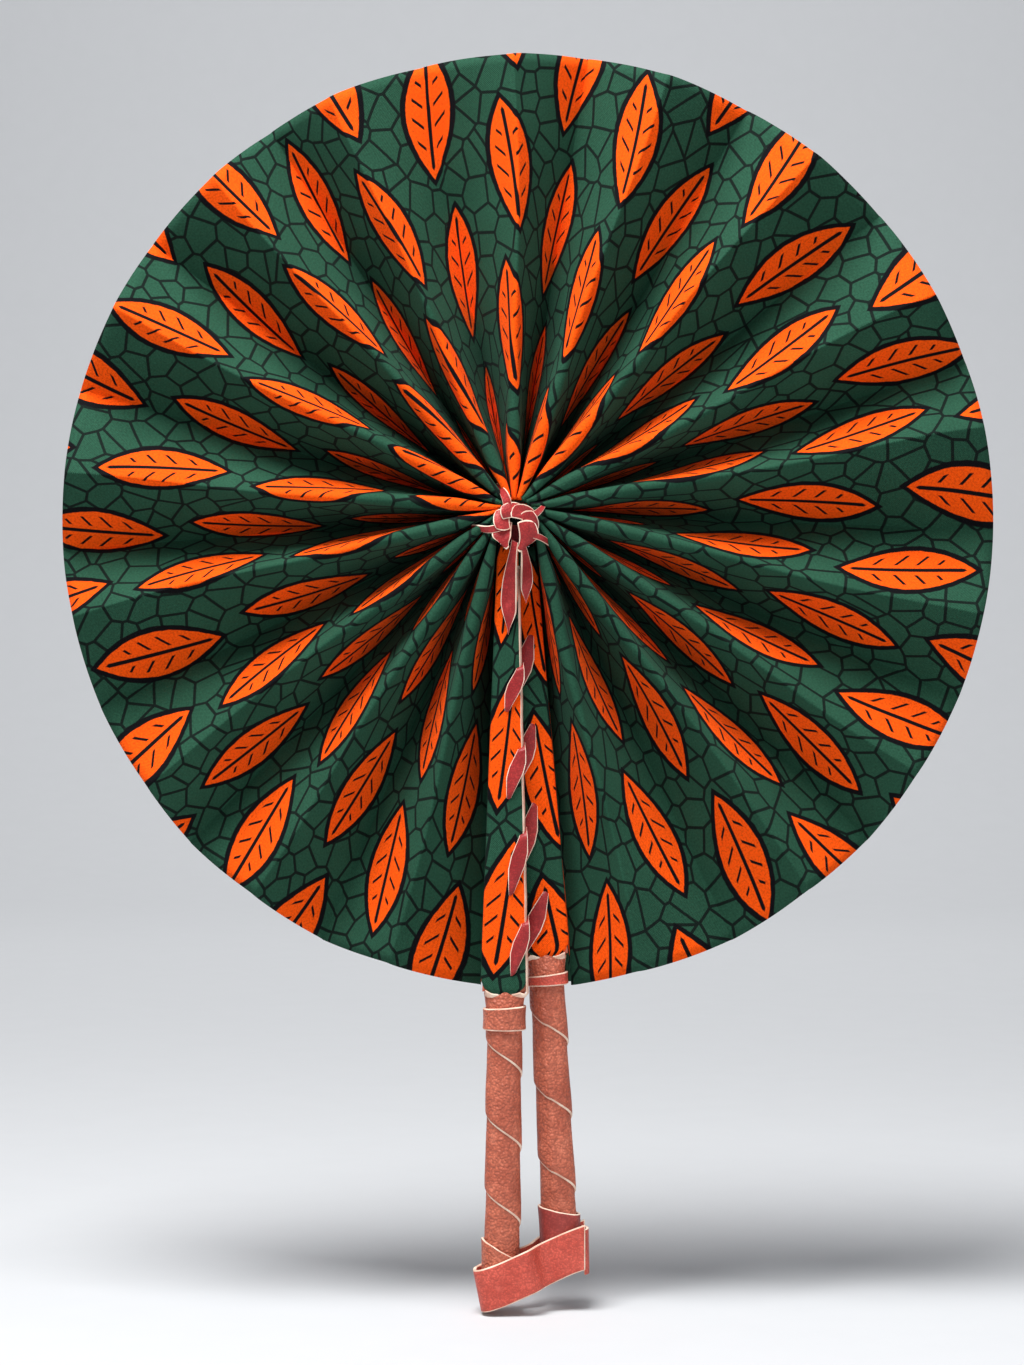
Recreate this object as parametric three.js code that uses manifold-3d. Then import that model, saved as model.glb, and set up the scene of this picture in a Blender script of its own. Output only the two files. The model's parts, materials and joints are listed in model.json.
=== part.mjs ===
// Pleated cloth fan that opens to a full disc, with two laced guards, wrapped handles and a strap.
// Millimetres, +Z up, +X to the right; the printed front faces -Y.
// The origin lies between the handles at the middle of the grip, straight below the hub.
import * as THREE from 'three';
import { mergeVertices } from 'three/addons/utils/BufferGeometryUtils.js';
import Module from 'manifold-3d';

const wasm = await Module();
wasm.setup();

// Leaf of doubled cotton
const hubHeight = 255; // hub above the middle of the grip
const leafRadius = 188.5; // hub to rim, on average
const rimShift = 5; // the rim's circle is centred this far right of the hub
const hubRadius = 10; // inner edges of the pleats
const pleatCount = 17;
const hubDepth = 34; // over the folds, front to back, at the hub
const rimDepth = 21; // the same at the rim
const clothThickness = 0.8;
const ridgeRounding = 4; // half width of a rounded front fold
const ridgeShoulder = 0.7; // share of the rounding's half width where a front fold turns down
const ridgeDrop = 0.35; // share of its height lost there
const valleyRounding = 1; // half width of a pinched back fold
const seamGap = 0.3; // between neighbouring pleats
const foldGap = 0.1; // between flanks pressed together at the hub
const radialSteps = 10; // sections from hub to rim
const radialBunching = 1.7; // more sections where the pleats close up at the hub

// Guards: the flat upper halves of the two sticks
const guardTop = 11; // hub to the upper end of a guard
const guardEnd = 190; // hub to the lower end of the left guard
const guardTopWidth = 7.5;
const guardEndWidth = 18;
const slatThickness = 5;
const sheathWall = 0.8;
const flangeTop = 3; // laced edge of the sheath, at the upper end
const flangeEnd = 7; // laced edge of the sheath, at the lower end
const flangeThickness = 2.2;
const facingThickness = 0.6;
const leafGap = 0.8; // from a guard's outer edge to the first fold
const endPanelTop = 15; // hub to the upper edge of the leaf's end panels
const guardMiddle = -6.5; // depth of the left slat's middle
const guardStagger = 10; // the right guard lies this far behind the left one
const leftShift = 2.7; // left guard's axis from the hub
const leftLean = 0.5; // degrees, outwards
const rightShift = 3; // right guard's axis from the hub
const rightLean = 3; // degrees, outwards
const rightRise = 14; // the right stick sits this much higher

// Handles
const handleLength = 122;
const stickWidth = 11.2;
const stickDepth = 8.6;
const stickShoulder = 6; // from the flat slat to the round handle
const wrapThickness = 0.9;
const wrapPitch = 30;
const wrapGap = 0.5; // between neighbouring turns of the wrap
const wrapSteps = 16; // round one turn of the wrap
const collarHeight = 10; // left collar
const rightCollarHeight = 7;
const collarThickness = 0.8;
const bandHeight = 18; // end bands on the handles
const bandThickness = 0.8;

// Lacing
const lacePitch = 35;
const laceFirst = 78; // hub to the first stitch's lower tip
const laceRun = 20; // length of a front stitch along the guard
const laceWidth = 5.5;
const laceTip = 1.8; // width where the lace goes through the sheath
const laceThickness = 0.9;
const laceSteps = 16; // round one turn of the lace
const laceEndGap = 1; // from the last stitch to the guard's lower end

// Tie at the hub
const knotRadius = 8.3;
const knotDrop = 3; // middle of the knot below the hub
const knotHole = 2.3;
const knotThickness = 3.4;
const stemRadius = 5;
const thongDepth = 8; // along the hub
const thongGap = 0.6; // from the ring to the pleats' inner edges
const tailWidth = 5.5;
const tailThickness = 0.9;
const tailSteps = 4;
const tailTouch = 0.5; // share of a tail's length where it comes to lie on the guard
const longTail = 46; // hub to the tail's tip
const shortTail = 32;
const tailSpread = 3; // tails left and right of the hub

// Strap
const strapHeight = 17;
const strapThickness = 1.4;
const strapTilt = 21; // degrees, lower at the left
const strapBulge = 0.6; // the strap's bend stands off the left handle
const bendSteps = 6;

const clearance = 0.3;
const overcut = 1; // cutting tools reach this far past the ends they cut
const weld = 1e-4; // corners closer than this are one corner
const ovalSides = 16;
const turnedSides = 24;
const tau = 2 * Math.PI;
const radians = THREE.MathUtils.degToRad;
const mix = THREE.MathUtils.lerp;
const clamp = THREE.MathUtils.clamp;

const leatherLook = { color: 0xb85f48, roughness: 0.62, metalness: 0 };
const laceLook = { color: 0xb24a4c, roughness: 0.55, metalness: 0 };
const strapLook = { color: 0xc5543f, roughness: 0.55, metalness: 0 };
const clothLook = { color: 0x1f4a30, roughness: 0.85, metalness: 0 };
const woodLook = { color: 0xb98d58, roughness: 0.7, metalness: 0 };

const fan = new THREE.Group();

function addPiece(parent, name, geometry, look) {
  const mesh = new THREE.Mesh(geometry, new THREE.MeshStandardMaterial(look));
  mesh.name = name;
  parent.add(mesh);
}

// Closes a row of rings, each a list of points, into one solid that faces out.
// The two halves of a ring are split along mirrored diagonals, so a strip's two sides stay parallel.
function skin(rings, capContours) {
  const count = rings[0].length;
  const positions = rings.flat().flatMap((point) => point.toArray());
  const faces = [];
  for (let ring = 0; ring + 1 < rings.length; ring += 1) {
    for (let side = 0; side < count; side += 1) {
      const near = ring * count;
      const far = near + count;
      const next = (side + 1) % count;
      if (2 * side < count) {
        faces.push([near + side, near + next, far + next], [near + side, far + next, far + side]);
      } else {
        faces.push([near + side, near + next, far + side], [near + next, far + next, far + side]);
      }
    }
  }
  const last = (rings.length - 1) * count;
  for (const [start, contour] of [[0, capContours[0]], [last, capContours[1]]]) {
    for (const corner of THREE.ShapeUtils.triangulateShape(contour, [])) {
      const face = corner.map((index) => index + start);
      faces.push(start === 0 ? face.reverse() : face);
    }
  }
  const geometry = new THREE.BufferGeometry();
  geometry.setAttribute('position', new THREE.Float32BufferAttribute(positions, 3));
  geometry.setIndex(faces.flat());
  return facingOut(geometry);
}

function facingOut(geometry) {
  const position = geometry.getAttribute('position');
  const index = geometry.getIndex();
  const corner = [0, 1, 2].map(() => new THREE.Vector3());
  let volume = 0;
  for (let face = 0; face < index.count; face += 3) {
    corner.forEach((point, step) => point.fromBufferAttribute(position, index.getX(face + step)));
    volume += corner[0].dot(corner[1].cross(corner[2]));
  }
  if (volume < 0) {
    geometry.setIndex(Array.from(index.array).reverse());
  }
  return geometry;
}

// A solid through flat sections; place puts a section's point at its station.
function loft(stations, sectionAt, place) {
  const contours = stations.map((station) => counterClockwise(sectionAt(station)));
  const rings = contours.map((contour, step) => contour.map((point) => place(stations[step], point)));
  return skin(rings, [contours[0], contours[contours.length - 1]]);
}

function counterClockwise(contour) {
  return THREE.ShapeUtils.isClockWise(contour) ? [...contour].reverse() : contour;
}

function steps(count, from, to) {
  return Array.from({ length: count + 1 }, (_, step) => mix(from, to, step / count));
}

function barePositions(geometry) {
  geometry.deleteAttribute('normal');
  geometry.deleteAttribute('uv');
  return geometry;
}

function toManifold(geometry) {
  const merged = mergeVertices(barePositions(geometry.clone()), weld);
  const vertProperties = new Float32Array(merged.getAttribute('position').array);
  const triVerts = new Uint32Array(merged.getIndex().array);
  return new wasm.Manifold(new wasm.Mesh({ numProp: 3, vertProperties, triVerts }));
}

function fromManifold(solid) {
  const mesh = solid.getMesh();
  const geometry = new THREE.BufferGeometry();
  geometry.setAttribute('position', new THREE.Float32BufferAttribute(mesh.vertProperties, 3));
  geometry.setIndex(Array.from(mesh.triVerts));
  return geometry;
}

function cut(geometry, ...tools) {
  const body = toManifold(geometry);
  return fromManifold(tools.reduce((left, tool) => left.subtract(toManifold(tool)), body));
}

function trim(geometry, keeper) {
  return fromManifold(toManifold(geometry).intersect(toManifold(keeper)));
}

// Guards are laid out along a stick: "along" counts from the hub down the stick.
// side is +1 where the laced edge is on the right, -1 where it is on the left.
const leftGuard = {
  name: 'left', side: 1, shift: -leftShift, lean: -leftLean, middle: guardMiddle, end: guardEnd,
};
const rightGuard = {
  name: 'right', side: -1, shift: rightShift, lean: rightLean, middle: guardMiddle + guardStagger,
  end: guardEnd - rightRise,
};

function taper(guard, along, top, end) {
  return mix(top, end, clamp((along - guardTop) / (guard.end - guardTop), 0, 1));
}

function halfWidth(guard, along) {
  return taper(guard, along, guardTopWidth, guardEndWidth) / 2;
}

function flange(guard, along) {
  return taper(guard, along, flangeTop, flangeEnd);
}

// Angle of the leaf's edge beside a guard, from straight down, at a distance from the hub.
function leafEdge(guard, radius) {
  const lean = radius * Math.tan(radians(Math.abs(guard.lean)));
  const offset = Math.abs(guard.shift) + lean + halfWidth(guard, radius) + leafGap;
  return Math.asin(Math.min(1, offset / radius));
}

// Angle in the leaf, clockwise from straight down, at a share of the way round.
function leafAngle(share, radius) {
  return mix(leafEdge(leftGuard, radius), tau - leafEdge(rightGuard, radius), share);
}

function rimRadius(share) {
  return leafRadius - rimShift * Math.sin(leafAngle(share, leafRadius));
}

function leafDepth(radius) {
  return mix(hubDepth, rimDepth, clamp((radius - hubRadius) / (leafRadius - hubRadius), 0, 1));
}

function leafPoint(share, radius, depth) {
  const angle = leafAngle(share, radius);
  return new THREE.Vector3(-radius * Math.sin(angle), depth, hubHeight - radius * Math.cos(angle));
}

// Section of one pleat, from back fold to back fold, as a strip of cloth.
function pleatSection(radius) {
  const span = leafAngle(1, radius) - leafAngle(0, radius);
  const half = (radius * span) / (2 * pleatCount);
  const depth = leafDepth(radius);
  const room = (clothThickness + seamGap) / 2 + foldGap; // keeps a flank off its neighbour
  const ridge = Math.min(ridgeRounding, half - room);
  const valley = Math.max(room, Math.min(valleyRounding, half - ridge));
  const slope = Math.min(1, depth / half);
  const flank = outlineOf([
    [0, -depth / 2],
    [ridgeShoulder * ridge, -depth / 2 + ridgeDrop * slope * ridge],
    [ridge, -depth / 2 + slope * ridge],
    [half - valley, depth / 2 - slope * valley],
    [half - seamGap / 2, depth / 2],
  ]);
  const mirrored = flank.slice(1).reverse().map((point) => new THREE.Vector2(-point.x, point.y));
  const outline = strip([...mirrored, ...flank], clothThickness);
  return outline.map((point) => new THREE.Vector2(point.x / half, point.y));
}

// Outline of a strip of a given thickness along a line.
function strip(line, thickness) {
  const normals = line.map((_, step) => {
    const before = line[Math.max(step - 1, 0)];
    const after = line[Math.min(step + 1, line.length - 1)];
    const along = after.clone().sub(before).normalize();
    const end = step === 0 || step === line.length - 1;
    return end ? new THREE.Vector2(0, Math.sign(along.x)) : new THREE.Vector2(-along.y, along.x);
  });
  const upper = line.map((point, step) => point.clone().addScaledVector(normals[step], thickness / 2));
  const lower = line.map((point, step) => point.clone().addScaledVector(normals[step], -thickness / 2));
  return [...upper, ...lower.reverse()];
}

for (let pleat = 0; pleat < pleatCount; pleat += 1) {
  const middle = (pleat + 0.5) / pleatCount;
  const reach = rimRadius(middle) - hubRadius;
  const stations = steps(radialSteps, 0, 1).map((step) => hubRadius + reach * step ** radialBunching);
  const place = (radius, point) => {
    const share = middle + point.x / (2 * pleatCount);
    const stretch = (rimRadius(share) - hubRadius) / reach; // follows the rim's round
    return leafPoint(share, hubRadius + (radius - hubRadius) * stretch, point.y);
  };
  const name = `pleat_${String(pleat + 1).padStart(2, '0')}`;
  addPiece(fan, name, loft(stations, pleatSection, place), clothLook);
}

// Frame of a guard: local x towards the laced edge, z up the stick, origin at the hub.
function guardFrame(guard) {
  const frame = new THREE.Group();
  frame.position.set(guard.shift, guard.middle, hubHeight);
  frame.rotation.y = radians(-guard.lean);
  fan.add(frame);
  return frame;
}

function outlineOf(corners) {
  return corners.map(([x, y]) => new THREE.Vector2(x, y));
}

function rectangle(left, right, front, back) {
  return outlineOf([[left, front], [right, front], [right, back], [left, back]]);
}

function oval(width, depth, centre = 0) {
  return steps(ovalSides, 0, tau).slice(1).map((turn) => {
    return new THREE.Vector2(centre + (width / 2) * Math.cos(turn), (depth / 2) * Math.sin(turn));
  });
}

const sheathFront = -(slatThickness / 2 + clearance + sheathWall);
const facingFront = sheathFront - clearance - facingThickness;

function slatEdges(guard, along) {
  const half = halfWidth(guard, along);
  return [-half + sheathWall + clearance, half - flange(guard, along) - clearance];
}

function makeStick(guard, alongStick) {
  const shoulder = guard.end + stickShoulder;
  const butt = guard.end + handleLength;
  const section = (along) => {
    if (along > guard.end) {
      return oval(stickWidth, stickDepth);
    }
    const [outer, inner] = slatEdges(guard, along);
    return oval(inner - outer, slatThickness, (inner + outer) / 2);
  };
  return loft([guardTop, guard.end, shoulder, butt], section, alongStick);
}

function makeSheath(guard, alongStick, laceRoom) {
  const outside = (along) => {
    const half = halfWidth(guard, along);
    const root = half - flange(guard, along) + sheathWall;
    const flangeBack = sheathFront + flangeThickness;
    return outlineOf([
      [-half, sheathFront], [half, sheathFront], [half, flangeBack],
      [root, flangeBack], [root, -sheathFront], [-half, -sheathFront],
    ]);
  };
  const inside = (along) => {
    const [outer, inner] = slatEdges(guard, along);
    const back = slatThickness / 2 + clearance;
    return rectangle(outer - clearance, inner + clearance, -back, back);
  };
  const body = loft([guardTop, guard.end], outside, alongStick);
  const reach = [guardTop - overcut, guardTop, guard.end, guard.end + overcut];
  const cavity = loft(reach, inside, alongStick);
  return cut(body, cavity, laceRoom);
}

function makeFacing(guard, alongStick, laceRoom) {
  const section = (along) => {
    const half = halfWidth(guard, along);
    return rectangle(-half, half - clearance, facingFront, facingFront + facingThickness);
  };
  return cut(loft([guardTop, guard.end], section, alongStick), laceRoom);
}

// The lace winds round the laced edge: diagonal on the front, through the sheath, and back.
function lacePath(guard) {
  const turns = Math.floor((guard.end - laceFirst) / lacePitch) + 1;
  const frontShare = laceRun / lacePitch;
  const back = sheathFront + flangeThickness + clearance + laceThickness / 2;
  const front = facingFront - clearance - laceThickness / 2;
  return steps(turns * laceSteps, 0, turns).map((turn) => {
    const phase = turn % 1;
    const inFront = clamp(2 * phase, 0, 1) * frontShare;
    const behind = clamp(2 * phase - 1, 0, 1) * (1 - frontShare);
    const down = laceFirst - laceRun + lacePitch * (Math.floor(turn) + inFront + behind);
    const along = Math.min(down, guard.end - laceEndGap);
    const half = halfWidth(guard, along);
    const edge = half + clearance + laceThickness / 2;
    const hole = half - flange(guard, along) + sheathWall + clearance + laceThickness;
    const round = (value) => Math.sign(value) * Math.sqrt(Math.abs(value));
    const x = (edge + hole) / 2 + ((edge - hole) / 2) * round(Math.cos(tau * phase));
    const y = (front + back) / 2 + ((front - back) / 2) * round(Math.sin(tau * phase));
    const width = mix(laceTip, laceWidth, Math.abs(Math.sin(tau * phase)));
    const outward = [Math.cos(tau * phase), -Math.sin(tau * phase)];
    return { point: new THREE.Vector3(x, y, -along), width, outward };
  });
}

// A flat band along a path, with its flat side turned outwards.
function band(path, thickness, room, side) {
  const rings = path.map(({ point, width, outward }, step) => {
    const before = path[Math.max(step - 1, 0)].point;
    const after = path[Math.min(step + 1, path.length - 1)].point;
    const along = after.clone().sub(before).normalize();
    const out = new THREE.Vector3(outward[0], outward[1], 0);
    out.addScaledVector(along, -out.dot(along)).normalize();
    const across = along.clone().cross(out);
    return [[-1, -1], [1, -1], [1, 1], [-1, 1]].map(([acrossSign, outSign]) => {
      const corner = point.clone().addScaledVector(across, acrossSign * (width / 2 + room));
      corner.addScaledVector(out, outSign * (thickness / 2 + room));
      corner.x *= side;
      return corner;
    });
  });
  const square = rectangle(-1, 1, -1, 1);
  return skin(rings, [square, square]);
}

// Least gap of a winding to itself, one turn away.
function leastGap(path, stepsPerTurn, width) {
  let least = Infinity;
  for (let step = 0; step + stepsPerTurn < path.length; step += 1) {
    least = Math.min(least, path[step].point.distanceTo(path[step + stepsPerTurn].point) - width);
  }
  return least;
}

function wrapPath(guard) {
  const top = guard.end + stickShoulder + clearance - wrapPitch;
  const turns = Math.ceil((handleLength + 2 * wrapPitch) / wrapPitch);
  const grow = 2 * clearance + wrapThickness;
  return steps(turns * wrapSteps, 0, turns).map((turn) => {
    const angle = Math.PI + tau * turn;
    const outward = [Math.cos(angle), Math.sin(angle)];
    const x = ((stickWidth + grow) / 2) * outward[0];
    const y = ((stickDepth + grow) / 2) * outward[1];
    return { point: new THREE.Vector3(x, y, -(top + wrapPitch * turn)), outward };
  });
}

// The wrap's band stands upright on the handle, so its edges stay level with the next turn's.
function makeWrap(guard) {
  const path = wrapPath(guard);
  const tall = wrapPitch - wrapGap;
  const rings = path.map(({ point, outward }) => {
    return [[-1, -1], [-1, 1], [1, 1], [1, -1]].map(([outSign, upSign]) => {
      const reach = (outSign * wrapThickness) / 2;
      const height = point.z + (upSign * tall) / 2;
      return new THREE.Vector3(point.x + reach * outward[0], point.y + reach * outward[1], height);
    });
  });
  const square = rectangle(-1, 1, -1, 1);
  const bandSolid = skin(rings, [square, square]);
  const start = stickShoulder + clearance;
  const room = new THREE.BoxGeometry(2 * guardEndWidth, 2 * guardEndWidth, handleLength - start);
  room.translate(0, 0, -(guard.end + (handleLength + start) / 2));
  console.log(`${guard.name} grip wrap, least gap to itself`, leastGap(path, wrapSteps, tall).toFixed(2));
  return trim(bandSolid, room);
}

const wrapGrow = 2 * (clearance + wrapThickness);

// A sleeve round the wrapped handle between two distances from the hub.
function makeSleeve(alongStick, from, to, thickness) {
  const inner = wrapGrow + 2 * clearance;
  const outer = inner + 2 * thickness;
  const ring = (grow) => oval(stickWidth + grow, stickDepth + grow);
  const body = loft([from, to], () => ring(outer), alongStick);
  const bore = loft([from - overcut, to + overcut], () => ring(inner), alongStick);
  return cut(body, bore);
}

function makeGuard(guard) {
  const frame = guardFrame(guard);
  const alongStick = (along, point) => new THREE.Vector3(guard.side * point.x, point.y, -along);
  const butt = guard.end + handleLength;
  const path = lacePath(guard);
  const laceRoom = band(path, laceThickness, clearance, guard.side);
  const collarTop = guard.end + stickShoulder + clearance;
  console.log(`${guard.name} lacing, least gap to itself`, leastGap(path, laceSteps, laceWidth).toFixed(2));
  addPiece(frame, `${guard.name}_stick`, makeStick(guard, alongStick), woodLook);
  addPiece(frame, `${guard.name}_sheath`, makeSheath(guard, alongStick, laceRoom), leatherLook);
  addPiece(frame, `${guard.name}_facing`, makeFacing(guard, alongStick, laceRoom), clothLook);
  addPiece(frame, `${guard.name}_lacing`, band(path, laceThickness, 0, guard.side), laceLook);
  addPiece(frame, `${guard.name}_grip_wrap`, makeWrap(guard), leatherLook);
  const collarEnd = collarTop + (guard === leftGuard ? collarHeight : rightCollarHeight);
  const collar = makeSleeve(alongStick, collarTop, collarEnd, collarThickness);
  addPiece(frame, `${guard.name}_collar`, collar, leatherLook);
  const endBand = makeSleeve(alongStick, butt - bandHeight, butt, bandThickness);
  addPiece(frame, guard === leftGuard ? 'left_end_band' : 'strap_anchor', endBand, strapLook);
  addPiece(fan, `${guard.name}_end_panel`, makeEndPanel(guard), clothLook);
}

// The leaf's last panel rises from the end back fold to the back of the guard's sheath.
function makeEndPanel(guard) {
  const share = guard === leftGuard ? 0 : 1;
  const reach = Math.min(rimRadius(share), guard.end);
  const stations = steps(radialSteps, 0, 1).map((step) => mix(endPanelTop, reach, step ** radialBunching));
  const guardBack = guard.middle - sheathFront + clearance + clothThickness / 2;
  const inward = 2 * sheathWall;
  const rings = stations.map((radius) => {
    const fold = leafPoint(share, radius, leafDepth(radius) / 2);
    fold.x += guard.side * (seamGap / 2);
    const lip = fold.clone();
    lip.x += guard.side * (leafGap + inward);
    lip.y = guardBack;
    return [[fold, 0], [lip, 0], [lip, 1], [fold, 1]].map(([point, layer]) => {
      const corner = point.clone();
      corner.x += guard.side * layer * clothThickness;
      return corner;
    });
  });
  const square = rectangle(-1, 1, -1, 1);
  return skin(rings, [square, square]);
}

makeGuard(leftGuard);
makeGuard(rightGuard);

// Hub: the gathering ring inside the pleats, the knot in front with its stem, and the tails.
const hubFrame = new THREE.Group();
const knotFrame = new THREE.Group();
hubFrame.position.z = hubHeight;
knotFrame.position.z = hubHeight - knotDrop;
for (const frame of [hubFrame, knotFrame]) {
  frame.rotation.x = Math.PI; // the turned pieces' axis points to the front
  fan.add(frame);
}

function turned(profile) {
  const closed = outlineOf([...profile, profile[0]]);
  return facingOut(mergeVertices(barePositions(new THREE.LatheGeometry(closed, turnedSides)), weld));
}

const thongRadius = hubRadius - thongGap;
const thongProfile = [
  [knotHole, -thongDepth / 2], [thongRadius, -thongDepth / 2],
  [thongRadius, thongDepth / 2], [knotHole, thongDepth / 2],
];
addPiece(hubFrame, 'hub_thong', turned(thongProfile), laceLook);

const knotBack = hubDepth / 2 + clothThickness / 2 + clearance;
const knotFront = knotBack + knotThickness;
const knotEdge = knotThickness / 4;
const knotProfile = [
  [knotHole, thongDepth / 2 + clearance], [stemRadius, thongDepth / 2 + clearance], [stemRadius, knotBack],
  [knotRadius - knotEdge, knotBack], [knotRadius, knotBack + knotEdge], [knotRadius, knotFront - knotEdge],
  [knotRadius - knotEdge, knotFront], [knotHole + knotEdge, knotFront], [knotHole, knotFront - knotEdge],
];
addPiece(knotFrame, 'hub_knot', turned(knotProfile), laceLook);

// Tails hang from the knot and lie on the front of the left guard.
const tailRest = guardMiddle + facingFront - clearance - tailThickness / 2;
const tailRoot = -(knotBack + knotThickness / 2);

function makeTail(across, length) {
  const top = knotDrop + knotRadius + clearance;
  const path = steps(tailSteps, 0, 1).map((share) => {
    const depth = mix(tailRoot, tailRest, THREE.MathUtils.smoothstep(share, 0, tailTouch));
    const height = hubHeight - mix(top, length, share);
    return { point: new THREE.Vector3(across, depth, height), width: tailWidth, outward: [0, -1] };
  });
  return band(path, tailThickness, 0, 1);
}

addPiece(fan, 'long_tail', makeTail(-tailSpread, longTail), laceLook);
addPiece(fan, 'short_tail', makeTail(tailSpread, shortTail), laceLook);

// Strap: a hairpin round the left handle's end, whose ends lie on the band of the right handle.
function stickPoint(guard, along) {
  const x = guard.shift + along * Math.sin(radians(guard.lean));
  return new THREE.Vector2(x, hubHeight - along * Math.cos(radians(guard.lean)));
}

const bandGrow = wrapGrow + 2 * clearance + 2 * bandThickness;
const bandHalfWidth = (stickWidth + bandGrow) / 2;
const bandHalfDepth = (stickDepth + bandGrow) / 2;
const strapPivot = stickPoint(rightGuard, rightGuard.end + handleLength);
const leftButt = stickPoint(leftGuard, leftGuard.end + handleLength);

function makeStrap() {
  const run = strapThickness / 2 + clearance;
  const frontRight = rightGuard.middle - bandHalfDepth - run;
  const backRight = rightGuard.middle + bandHalfDepth + run;
  const frontLeft = leftGuard.middle - bandHalfDepth - run;
  const backLeft = leftGuard.middle + bandHalfDepth + run;
  const slant = radians(strapTilt);
  const reach = (strapPivot.x - leftButt.x) / Math.cos(slant);
  const skew = (strapHeight / 2) * Math.tan(slant); // the left handle crosses the tilted strap
  const snug = bandHalfWidth / Math.cos(slant) + run; // the bend lies at the handle's lower end
  const hug = snug + skew;
  const depth = (backLeft - frontLeft) / 2;
  const bend = steps(bendSteps, Math.PI / 2, -Math.PI / 2).map((turn) => {
    return [-reach - snug - strapBulge * Math.cos(turn), frontLeft + depth * (1 - Math.sin(turn))];
  });
  const front = [[bandHalfWidth, frontRight], [-bandHalfWidth, frontRight], [hug - reach, frontLeft]];
  const back = [[hug - reach, backLeft], [-bandHalfWidth, backRight], [bandHalfWidth, backRight]];
  const line = outlineOf([...front, ...bend, ...back]);
  const heights = [-strapHeight / 2, strapHeight / 2];
  const contour = strip(line, strapThickness);
  return loft(heights, () => contour, (height, point) => new THREE.Vector3(point.x, point.y, height));
}

const strapFrame = new THREE.Group();
strapFrame.position.set(strapPivot.x, 0, strapPivot.y);
strapFrame.rotation.y = radians(-strapTilt);
fan.add(strapFrame);
addPiece(strapFrame, 'strap_loop', makeStrap(), strapLook);

export default fan;
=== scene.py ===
import json
import bmesh
import bpy
from math import asin, atan2, ceil, copysign, cos, degrees, dist, hypot
from math import pi, radians, remainder, sin, sqrt, tan, tau
from functools import partial
from mathutils import Matrix, Vector
from mathutils.noise import noise


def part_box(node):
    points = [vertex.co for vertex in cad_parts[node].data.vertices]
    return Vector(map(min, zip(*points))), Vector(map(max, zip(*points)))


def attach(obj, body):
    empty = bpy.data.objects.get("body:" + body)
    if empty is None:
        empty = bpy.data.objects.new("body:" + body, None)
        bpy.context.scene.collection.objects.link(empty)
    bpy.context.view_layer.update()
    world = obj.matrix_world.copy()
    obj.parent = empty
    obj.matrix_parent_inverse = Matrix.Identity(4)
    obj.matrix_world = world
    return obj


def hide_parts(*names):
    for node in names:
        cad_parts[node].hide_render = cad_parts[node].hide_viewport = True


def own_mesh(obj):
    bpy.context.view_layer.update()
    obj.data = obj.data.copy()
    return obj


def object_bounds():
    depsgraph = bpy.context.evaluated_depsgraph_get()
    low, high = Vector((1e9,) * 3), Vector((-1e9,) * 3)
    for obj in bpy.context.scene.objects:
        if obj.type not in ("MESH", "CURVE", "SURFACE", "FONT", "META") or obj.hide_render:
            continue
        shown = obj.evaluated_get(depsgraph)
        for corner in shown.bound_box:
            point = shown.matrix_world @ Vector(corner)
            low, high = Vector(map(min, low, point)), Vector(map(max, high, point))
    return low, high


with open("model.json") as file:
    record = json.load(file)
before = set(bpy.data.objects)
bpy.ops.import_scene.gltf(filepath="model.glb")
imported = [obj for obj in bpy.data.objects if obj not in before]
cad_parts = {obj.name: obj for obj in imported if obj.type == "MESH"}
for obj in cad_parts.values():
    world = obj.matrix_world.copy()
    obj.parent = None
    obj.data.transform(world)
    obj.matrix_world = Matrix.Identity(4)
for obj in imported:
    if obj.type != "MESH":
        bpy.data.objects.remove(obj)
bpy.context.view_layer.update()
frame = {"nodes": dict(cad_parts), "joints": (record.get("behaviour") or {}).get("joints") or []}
joints = {joint["name"]: joint for joint in frame["joints"]}
hub = Vector(joints["fan_fold"]["pos_m"])
mm = 0.001


def mixed(a, b, t):
    return a + (b - a) * t


def smooth(t):
    t = min(max(t, 0.0), 1.0)
    return t * t * (3 - 2 * t)


# Camera: square on to the fan, framed as in the photograph
view = {
    "distance": 1.25,
    "frameHeight": 0.5528,  # what the picture's height covers at the fan
    "centreAcross": -0.0014,  # picture centre from the hub
    "centreDown": 0.0658, "sensor": 36.0,
}

cameraData = bpy.data.cameras.new("fanCamera")
cameraData.sensor_fit = "AUTO"
cameraData.sensor_width = view["sensor"]
cameraData.lens = view["sensor"] * view["distance"] / view["frameHeight"]
camera = bpy.data.objects.new("fanCamera", cameraData)
camera.location = (hub.x + view["centreAcross"], -view["distance"], hub.z - view["centreDown"])
camera.rotation_euler = (radians(90), 0, 0)
bpy.context.scene.collection.objects.link(camera)
bpy.context.scene.camera = camera
print("camera placed")


# Node helpers
def newGroup(name, inputs, outputs):
    group = bpy.data.node_groups.new(name, "ShaderNodeTree")
    for label, kind in inputs:
        group.interface.new_socket(name=label, in_out="INPUT", socket_type=kind)
    for label in outputs:
        group.interface.new_socket(name=label, in_out="OUTPUT", socket_type="NodeSocketFloat")
    return group, group.nodes.new("NodeGroupInput"), group.nodes.new("NodeGroupOutput")


def newNode(tree, kind):
    return tree.nodes.new(f"ShaderNode{kind}")


# Links a socket or sets its value; colours come without alpha
def feed(socket, value):
    if isinstance(value, bpy.types.NodeSocket):
        socket.id_data.links.new(value, socket)
    else:
        socket.default_value = (*value, 1.0) if socket.type == "RGBA" else value


def feedAll(node, values):
    for label, value in values.items():
        feed(node.inputs[label], value)


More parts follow.
